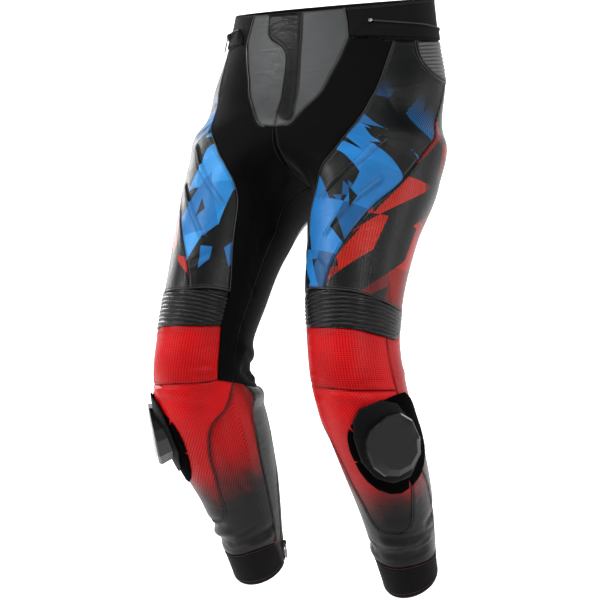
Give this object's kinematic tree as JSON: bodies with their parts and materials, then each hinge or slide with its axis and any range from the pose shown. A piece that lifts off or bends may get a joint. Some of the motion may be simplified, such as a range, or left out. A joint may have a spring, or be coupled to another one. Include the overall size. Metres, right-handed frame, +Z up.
{
  "type": "motorcycle trousers",
  "caption": "Leather riding trousers, filled out as if worn, with ribbed knee and hip panels, stretch panels, knee sliders and calf zips.",
  "frame": {"origin": "middle of the waist, about level with the front of its rim, where the trousers are held; the rim rises to the back", "axes": "+Z up, from the hems to the waist; -Y out of the wearer's front; +X to the wearer's left"},
  "size_m": [0.4694, 0.3709, 0.9367],
  "materials": {
    "black_stretch_cloth": "matte woven stretch cloth",
    "grey_cowhide": "satin grained cowhide",
    "black_cowhide": "satin smooth cowhide",
    "printed_cowhide": "satin cowhide with a printed pattern",
    "red_cowhide": "glossy coated cowhide",
    "ribbed_cowhide": "glossy cowhide over elastic ribs",
    "hook_and_loop_felt": "matte looped pile",
    "slider_plastic": "glossy moulded polyurethane",
    "zip": "woven zip tape with moulded teeth",
    "metal": "dark enamelled zinc",
    "pull_tape": "woven loop on the zip pull"
  },
  "bodies": {
    "trousers": {"waistband": "black_stretch_cloth", "yoke_left": "grey_cowhide", "yoke_right": "grey_cowhide", "front_stretch_left": "black_stretch_cloth", "front_stretch_right": "black_stretch_cloth", "back_stretch_left": "black_stretch_cloth", "back_stretch_right": "black_stretch_cloth", "seat_left": "black_cowhide", "seat_right": "black_cowhide", "thigh_left": "printed_cowhide", "thigh_right": "printed_cowhide", "outer_thigh_left": "printed_cowhide", "outer_thigh_right": "printed_cowhide", "hip_accordion_left": "ribbed_cowhide", "hip_accordion_right": "ribbed_cowhide", "knee_accordion_left": "ribbed_cowhide", "knee_accordion_right": "ribbed_cowhide", "knee_upper_left": "red_cowhide", "knee_upper_right": "red_cowhide", "shin_left": "red_cowhide", "shin_right": "red_cowhide", "calf_wrap_left": "black_cowhide", "calf_wrap_right": "black_cowhide", "calf_side_left": "red_cowhide", "calf_side_right": "red_cowhide", "calf_back_left": "black_cowhide", "calf_back_right": "black_cowhide", "calf_placket_left": "black_cowhide", "calf_placket_right": "black_cowhide", "cuff_left": "black_stretch_cloth", "cuff_right": "black_stretch_cloth", "knee_felt_left": "hook_and_loop_felt", "knee_felt_right": "hook_and_loop_felt", "slider_plate_left": "slider_plastic", "slider_plate_right": "slider_plastic", "slider_puck_left": "slider_plastic", "slider_puck_right": "slider_plastic", "calf_zip_left": "zip", "calf_zip_right": "zip", "calf_zip_slider_left": "metal", "calf_zip_slider_right": "metal", "fly": "black_cowhide", "jacket_zip": "zip", "jacket_zip_slider": "metal"},
    "calf_pull_left": {"calf_zip_pull_left": "pull_tape"},
    "calf_pull_right": {"calf_zip_pull_right": "pull_tape"},
    "jacket_pull": {"jacket_zip_pull": "metal"}
  },
  "joints": [
    {"name": "calf_pull_left_hinge", "type": "hinge", "parent": "trousers", "child": "calf_pull_left", "pos_m": [0.08876, -0.00301, -0.83101], "axis": [0.2546, 0.8764, 0.4088], "range_deg": [0, 120]},
    {"name": "calf_pull_right_hinge", "type": "hinge", "parent": "trousers", "child": "calf_pull_right", "pos_m": [-0.08876, -0.00301, -0.83101], "axis": [0.2546, -0.8764, -0.4088], "range_deg": [0, 120]},
    {"name": "jacket_pull_hinge", "type": "hinge", "parent": "trousers", "child": "jacket_pull", "pos_m": [-0.14883, -0.07668, -0.02623], "axis": [-0.659, 0.7509, -0.0434], "range_deg": [0, 120]}
  ]
}
